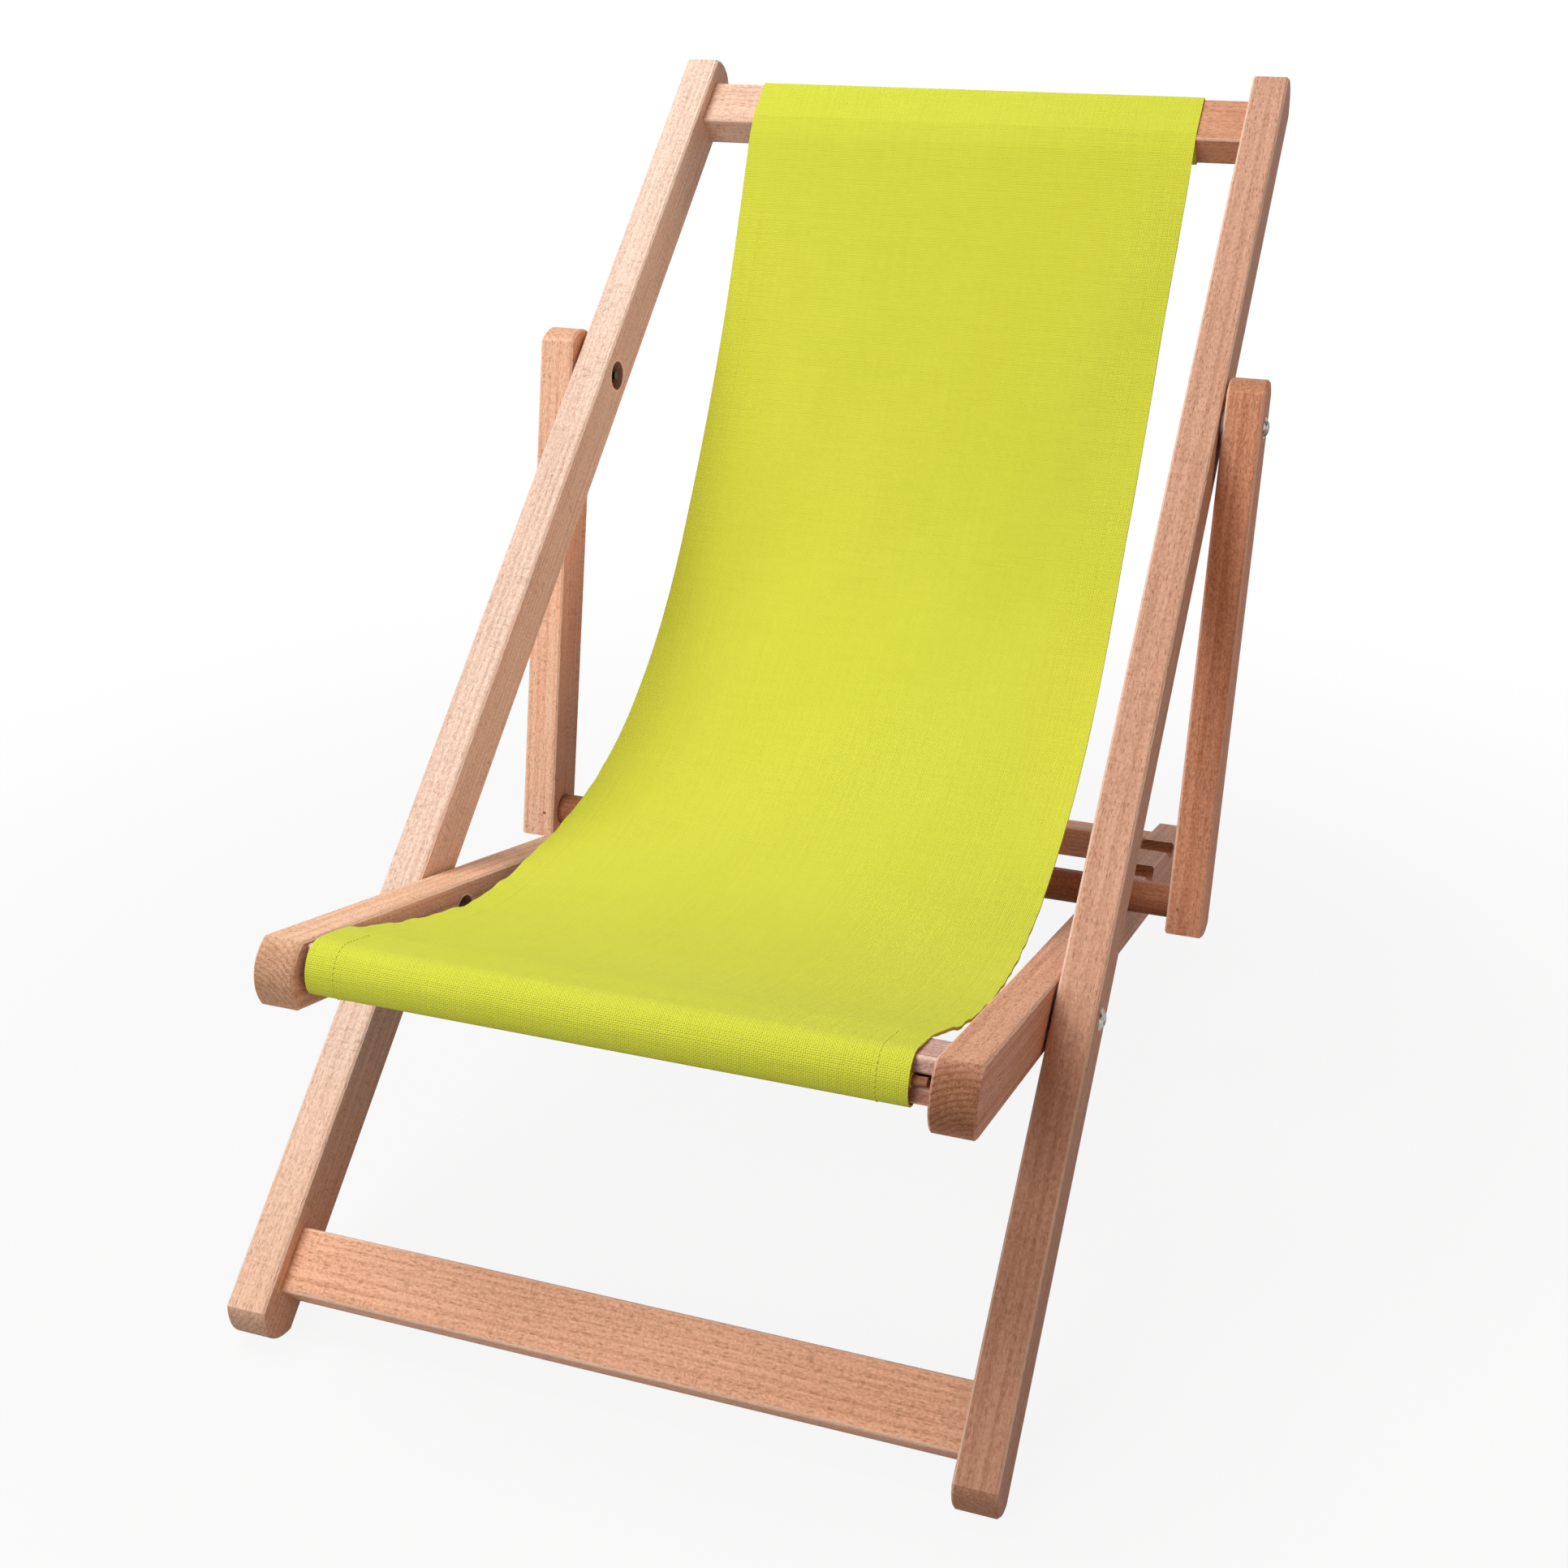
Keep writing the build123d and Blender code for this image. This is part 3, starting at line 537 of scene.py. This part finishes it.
def sling_line():
    """Side view of the sling from its sleeve seam to the hem on the rod, and where it hangs free."""
    leave = in_frame(BACK_TILT, BAR_LOW, BAR_FRONT + SKIN)
    land = in_frame(SEAT_TILT, SLAT_REAR, SLAT_TOP + SKIN)
    free = hanging(leave, land, HANG_LENGTH, HANG_STEPS)
    heading = (free[1] - free[0]).normalized()
    behind = Vector((-heading.y, heading.x)) * SEAM_BEHIND
    seam = [free[0] + heading * reach + behind for reach in (SEAM_ALLOWANCE, SEAM_TOP)]
    low, high = BAR_LOW - SKIN, BAR_HIGH + SKIN
    front, rear = BAR_FRONT + SKIN, BAR_REAR - SKIN
    sleeve = [in_frame(BACK_TILT, *p) for p in (
        (low, front - SLEEVE_TURN), (low, rear), (high, rear), (high, front),
        (BAR_LOW + SLEEVE_TURN, front))]
    top = seam + sleeve + [free[0] + heading * SLEEVE_END]
    over = even(rounded(top, SLEEVE_ROUND, BEND_STEP))
    hang = [p for p in free if (p - free[0]).length > HANG_FROM]

    front, rear = SLAT_FRONT - SKIN - FRONT_SLACK, SLAT_REAR + SKIN
    bottom = SLAT_BOTTOM - SKIN
    nose = [in_frame(SEAT_TILT, *p) for p in (
        (SLAT_REAR - FRONT_FROM, SLAT_TOP + SKIN), (front, SLAT_TOP + FRONT_RISE),
        (SLAT_FRONT - ROD_COVER, SLOT_OUT), (front, SLAT_BOTTOM - FRONT_DROP),
        (SLAT_FRONT + FRONT_TO, bottom))]
    inward = [in_frame(SEAT_TILT, *p) for p in (
        (SLAT_FRONT + UNDER_FROM, bottom), (rear, bottom), (rear, SLOT_OUT),
        (SLAT_FRONT + SLOT_IN, SLOT_OUT))]
    hem = []
    for i in range(HEM_POINTS):
        turn = math.radians(HEM_FIRST + i * HEM_TURN)
        hem.append(Vector(in_frame(SEAT_TILT, ROD_AT + (ROD_RADIUS + HEM_GAP) * math.cos(turn),
                                   SLOT_OUT + (ROD_RADIUS + HEM_GAP) * math.sin(turn))))
    roll = rounded([hang[-1]] + nose, FRONT_ROUND, BEND_STEP)
    under = even(roll + rounded(inward, UNDER_ROUND, BEND_STEP) + hem)
    return over + hang + under[1:], len(over), len(over) + len(hang)


def edge_line(marks, fall):
    """Place across of one edge of the sling along its fall, eased between marks."""
    where, aside = zip(*marks)
    fine = np.linspace(0, 1, EDGE_SAMPLES)
    rough = np.interp(fine, where, aside)
    padded = np.pad(rough, EDGE_EASE, "edge")
    window = 2 * EDGE_EASE + 1
    return np.interp(fall, fine, np.convolve(padded, np.ones(window) / window, "valid"))


def smooth_step(value, low, high):
    t = np.clip((value - low) / (high - low), 0, 1)
    return t * t * (3 - 2 * t)


def waves(run, terms):
    return sum(np.sin(run * turns + shift) * share for turns, shift, share in terms)


def shell_faces(rows, columns):
    """Faces of a closed shell between two sheets of points, the upper one first."""
    top = np.arange(rows * columns).reshape(rows, columns)
    under = top + rows * columns
    faces = []
    for i in range(rows - 1):
        for j in range(columns - 1):
            faces.append((top[i, j], top[i + 1, j], top[i + 1, j + 1], top[i, j + 1]))
            faces.append((under[i, j + 1], under[i + 1, j + 1], under[i + 1, j], under[i, j]))
        for j, turn in ((0, 1), (columns - 1, -1)):
            faces.append((top[i, j], under[i, j], under[i + 1, j], top[i + 1, j])[::turn])
    for j in range(columns - 1):
        for i, turn in ((0, -1), (rows - 1, 1)):
            faces.append((top[i, j], under[i, j], under[i, j + 1], top[i, j + 1])[::turn])
    return [tuple(int(v) for v in face) for face in faces]


def cloth_mesh(upper, lower, across, run):
    """Shell between two surfaces of the cloth, with the cloth's own coordinates in metres."""
    rows, columns = across.shape
    points = np.concatenate([upper.reshape(-1, 3), lower.reshape(-1, 3)])
    mesh = bpy.data.meshes.new("sling_canvas")
    mesh.from_pydata(points.tolist(), [], shell_faces(rows, columns))
    cloth = np.stack([across, np.repeat(run[:, None], columns, axis=1)], axis=2).reshape(-1, 2)
    cloth = np.concatenate([cloth, cloth])
    corner = np.zeros(len(mesh.loops), dtype=np.int64)
    mesh.loops.foreach_get("vertex_index", corner)
    mesh.uv_layers.new(name="cloth").data.foreach_set("uv", cloth[corner].ravel())
    mesh.shade_smooth()
    mesh.set_sharp_from_angle(angle=SHARP_ANGLE)
    return mesh


def sewn_sling():
    """The sling as a closed cloth shell with folded side hems, the lines that its seams follow, and
    the size that it is cut to."""
    line, start, stop = sling_line()
    path = np.array([tuple(p) for p in line])
    steps = np.linalg.norm(np.diff(path, axis=0), axis=1)
    run = np.concatenate([[0], np.cumsum(steps)])
    heading = np.gradient(path, axis=0)
    heading /= np.linalg.norm(heading, axis=1)[:, None]
    face = np.column_stack([heading[:, 1], -heading[:, 0]])
    fall = np.clip((run - run[start]) / (run[stop] - run[start]), 0, 1)
    seat = smooth_step(fall, *SEAT_FROM) * (1 - smooth_step(fall, *SEAT_TO))

    ripple = waves(run, EDGE_RIPPLE)
    left = edge_line(LEFT_EDGE, fall) + RIPPLE_LEFT * seat * ripple
    right = edge_line(RIGHT_EDGE, fall) - RIPPLE_RIGHT * seat * np.roll(ripple, RIPPLE_LAG)
    shares = np.concatenate([
        np.linspace(0, HEM_SHARE, HEM_COLUMNS)[:-1],
        np.linspace(HEM_SHARE, 1 - HEM_SHARE, BODY_COLUMNS),
        np.linspace(1 - HEM_SHARE, 1, HEM_COLUMNS)[1:]])
    width = (right - left)[:, None]
    across = left[:, None] + width * shares
    from_edge = np.minimum(shares, 1 - shares) * width

    down, waist = run[:, None], np.sin(np.pi * fall)[:, None]
    cup = -CUP * waist * (1 - (2 * shares - 1) ** 2)
    flutter = FLUTTER * (seat[:, None] + FLUTTER_BACK) * np.exp(-from_edge / FLUTTER_REACH)
    shift = np.where(shares < 0.5, 0.0, FLUTTER_SHIFT)
    flutter = flutter * (waist > 0) * waves(
        down, [(turns, shift * side, share) for turns, side, share in EDGE_FLUTTER])
    soft = (SOFT * waist * np.sin(down * SOFT_DOWN + across * SOFT_SLANT)
            * np.sin(across * SOFT_ACROSS + SOFT_SHIFT))
    past_corner = (down - run[stop] - CORNER_AT) / CORNER_LENGTH
    rise = CORNER_RISE * np.exp(-past_corner ** 2 - shares * width / CORNER_WIDTH)
    offset = cup + flutter + soft + rise
    fold = HEM_STEP * (1 - smooth_step(from_edge, HEM_WIDTH - HEM_IN, HEM_WIDTH + HEM_OUT))
    fold = fold * (smooth_step(fall, *HEM_FROM) * (1 - smooth_step(fall, *HEM_TO)))[:, None]

    def surface(lift):
        return np.stack([across, path[:, :1] + face[:, :1] * lift, path[:, 1:] + face[:, 1:] * lift],
                        axis=2)

    proud = np.where(run > run[stop], STITCH_PROUD, -STITCH_SUNK)[:, None]
    upper, lower = surface(offset + CLOTH / 2), surface(offset - CLOTH / 2 - fold)
    sewn = surface(offset + CLOTH / 2 + proud)
    wrapped = int(np.searchsorted(run, run[stop] + FRONT_SEAM))
    seams = []
    for half in (shares < 0.5, shares >= 0.5):
        j = int(np.argmin(np.where(half, np.abs(from_edge[0] - STITCH_IN), np.inf)))
        seams += [sewn[start:wrapped, j], lower[start:stop, j]]
    seams.append(upper[int(np.argmin(np.abs(run - TOP_SEAM)))])
    cut_to = (float(np.mean(right - left)), float(run[-1]))
    return cloth_mesh(upper, lower, across, run), seams, cut_to


def stitch_tree(finish):
    """Geometry nodes that set short thread stitches along lines."""
    tree, given, made = group(
        "hem_stitches",
        {"Geometry": SOLID, "Pitch": NUMBER, "Length": NUMBER, "Thickness": NUMBER},
        {"Geometry": SOLID}, "GeometryNodeTree")
    curve = node(tree, "GeometryNodeMeshToCurve", {0: given["Geometry"]}).outputs[0]
    spaced = node(tree, "GeometryNodeResampleCurve", {"Curve": curve, "Length": given["Pitch"]},
                  mode="LENGTH").outputs[0]
    bead = node(tree, "GeometryNodeMeshUVSphere", {
        "Segments": STITCH_SIDES, "Rings": STITCH_RINGS, "Radius": 0.5}).outputs[0]
    size = node(tree, "ShaderNodeCombineXYZ", {
        0: given["Length"], 1: given["Thickness"], 2: given["Thickness"]}).outputs[0]
    stitch = node(tree, "GeometryNodeTransform", {"Geometry": bead, "Scale": size}).outputs[0]
    along = tree.nodes.new("GeometryNodeInputTangent").outputs[0]
    lie = node(tree, "FunctionNodeAlignEulerToVector", {"Vector": along}, axis="X").outputs[0]
    row = node(tree, "GeometryNodeInstanceOnPoints", {
        "Points": spaced, "Instance": stitch, "Rotation": lie}).outputs[0]
    solid = node(tree, "GeometryNodeRealizeInstances", {0: row}).outputs[0]
    done = node(tree, "GeometryNodeSetMaterial", {"Geometry": solid, "Material": finish}).outputs[0]
    feed(tree, made, {"Geometry": done})
    return tree


def stitches(seams, finish):
    """Stitches along the sling's seams, as a plain mesh."""
    points, edges = [], []
    for seam in seams:
        first = len(points)
        points += [tuple(p) for p in seam]
        edges += [(i, i + 1) for i in range(first, len(points) - 1)]
    guide = bpy.data.meshes.new("seam_lines")
    guide.from_pydata(points, edges, [])
    helper = bpy.data.objects.new("seam_lines", guide)
    bpy.context.scene.collection.objects.link(helper)
    sewing = helper.modifiers.new("stitches", "NODES")
    sewing.node_group = stitch_tree(finish)
    sizes = {"Pitch": STITCH_PITCH, "Length": STITCH_LENGTH, "Thickness": STITCH_THICK}
    for socket in sewing.node_group.interface.items_tree:
        if socket.name in sizes:
            sewing[socket.identifier] = sizes[socket.name]
    bpy.context.view_layer.update()
    evaluated = helper.evaluated_get(bpy.context.evaluated_depsgraph_get())
    mesh = bpy.data.meshes.new_from_object(evaluated)
    bpy.data.objects.remove(helper)
    mesh.name = "sling_stitches"
    mesh.shade_smooth()
    return mesh


def place(name, mesh, finish):
    """New object of a mesh in one finish."""
    piece = bpy.data.objects.new(name, mesh)
    bpy.context.scene.collection.objects.link(piece)
    mesh.materials.clear()
    mesh.materials.append(finish)
    return piece


sling_mesh, seam_lines, cut = sewn_sling()
sling = place("sling_canvas", sling_mesh, canvas("lime_canvas"))
THREAD = thread("lime_thread")
sewing = place("sling_stitches", stitches(seam_lines, THREAD), THREAD)
for piece in (sling, sewing):
    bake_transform(piece)
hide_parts("sling")


# Studio

WHITE = (1, 1, 1, 1)
FLOOR_HALF, FLOOR_GREY = 40, (0.40, 0.40, 0.40, 1)
SHADOW_NEAR, SHADOW_FAR, SHADOW_WHITE = 0.4, 1.3, 0.9
SKY_LIGHT = 0.1
LIGHTS_AIM = (0, 0, 0.35)
SOFT_BOXES = (
    ("top_box", (-1.2, -0.2, 3.1), 2.0, 74, (1, 1, 1)),
    ("front_box", (-1.1, -2.8, 2.0), 1.6, 51, (1, 1, 1)),
    ("side_box", (2.7, -1.3, 1.7), 2.0, 21, (1, 0.52, 0.30)),
    ("rear_box", (-0.4, 3.0, 1.5), 2.4, 22, (1, 1, 1)))
CAMERA_AT = (0.43034, -1.32363, 0.89229)
CAMERA_RIGHT, CAMERA_UP = (0.945225, 0.326411, -0.002192), (-0.134948, 0.39688, 0.907896)
CAMERA_LENS, CAMERA_SENSOR, CAMERA_REACH = 46.164, 36.0, 100


def seen_directly(tree):
    """1 for what the camera sees, straight or in a shiny or clear surface."""
    path = tree.nodes.new("ShaderNodeLightPath").outputs
    shiny = calc(tree, "MAXIMUM", path["Is Glossy Ray"], path["Is Transmission Ray"])
    return calc(tree, "MAXIMUM", path["Is Camera Ray"], shiny)


def studio_floor():
    """Wide floor that keeps the chair's shadow near it and is plain white further off."""
    mesh = bpy.data.meshes.new("studio_floor")
    corners = [(x * FLOOR_HALF, y * FLOOR_HALF, 0) for x, y in ((-1, -1), (1, -1), (1, 1), (-1, 1))]
    mesh.from_pydata(corners, [], [(0, 1, 2, 3)])
    made, tree, surface = material("studio_floor")
    feed(tree, surface, {"Base Color": FLOOR_GREY, "Roughness": 0.9, "Specular IOR Level": 0.1})
    spot = node(tree, "ShaderNodeTexCoord").outputs["Object"]
    away = node(tree, "ShaderNodeVectorMath", {0: spot}, operation="LENGTH").outputs["Value"]
    share = times(tree, ramp(tree, away, SHADOW_NEAR, SHADOW_FAR, SHADOW_WHITE, 1.0),
                  seen_directly(tree))
    white = node(tree, "ShaderNodeEmission", {"Color": WHITE, "Strength": 1.0}).outputs[0]
    both = node(tree, "ShaderNodeMixShader", {0: share, 1: surface.outputs[0], 2: white}).outputs[0]
    feed(tree, tree.nodes["Material Output"], {"Surface": both})
    place("studio_floor", mesh, made)


def studio_light():
    """Soft boxes above the left and before the chair, a weak warm one at the right, one behind, and
    a sky that shows white."""
    for name, spot, size, watts, colour in SOFT_BOXES:
        lamp = bpy.data.lights.new(name, "AREA")
        lamp.size, lamp.energy, lamp.color = size, watts, colour
        light = bpy.data.objects.new(name, lamp)
        light.location = spot
        light.rotation_mode = "QUATERNION"
        light.rotation_quaternion = (Vector(LIGHTS_AIM) - Vector(spot)).to_track_quat("-Z", "Y")
        bpy.context.scene.collection.objects.link(light)
    world = bpy.data.worlds.new("studio_sky")
    bpy.context.scene.world = world
    world.use_nodes = True
    tree = world.node_tree
    tree.nodes.clear()
    sky, white = (
        node(tree, "ShaderNodeBackground", {"Color": WHITE, "Strength": strength}).outputs[0]
        for strength in (SKY_LIGHT, 1.0))
    both = node(tree, "ShaderNodeMixShader", {0: seen_directly(tree), 1: sky, 2: white}).outputs[0]
    node(tree, "ShaderNodeOutputWorld", {0: both})


def studio_camera():
    """Camera at the photograph's view."""
    lens = bpy.data.cameras.new("camera")
    lens.lens, lens.sensor_width, lens.clip_end = CAMERA_LENS, CAMERA_SENSOR, CAMERA_REACH
    camera = bpy.data.objects.new("camera", lens)
    right, up = Vector(CAMERA_RIGHT), Vector(CAMERA_UP)
    turn = Matrix((right, up, right.cross(up).normalized())).transposed().to_4x4()
    camera.matrix_world = Matrix.Translation(CAMERA_AT) @ turn
    bpy.context.scene.collection.objects.link(camera)
    bpy.context.scene.camera = camera


studio_floor()
studio_light()
studio_camera()
bpy.context.scene.view_settings.view_transform = "Standard"
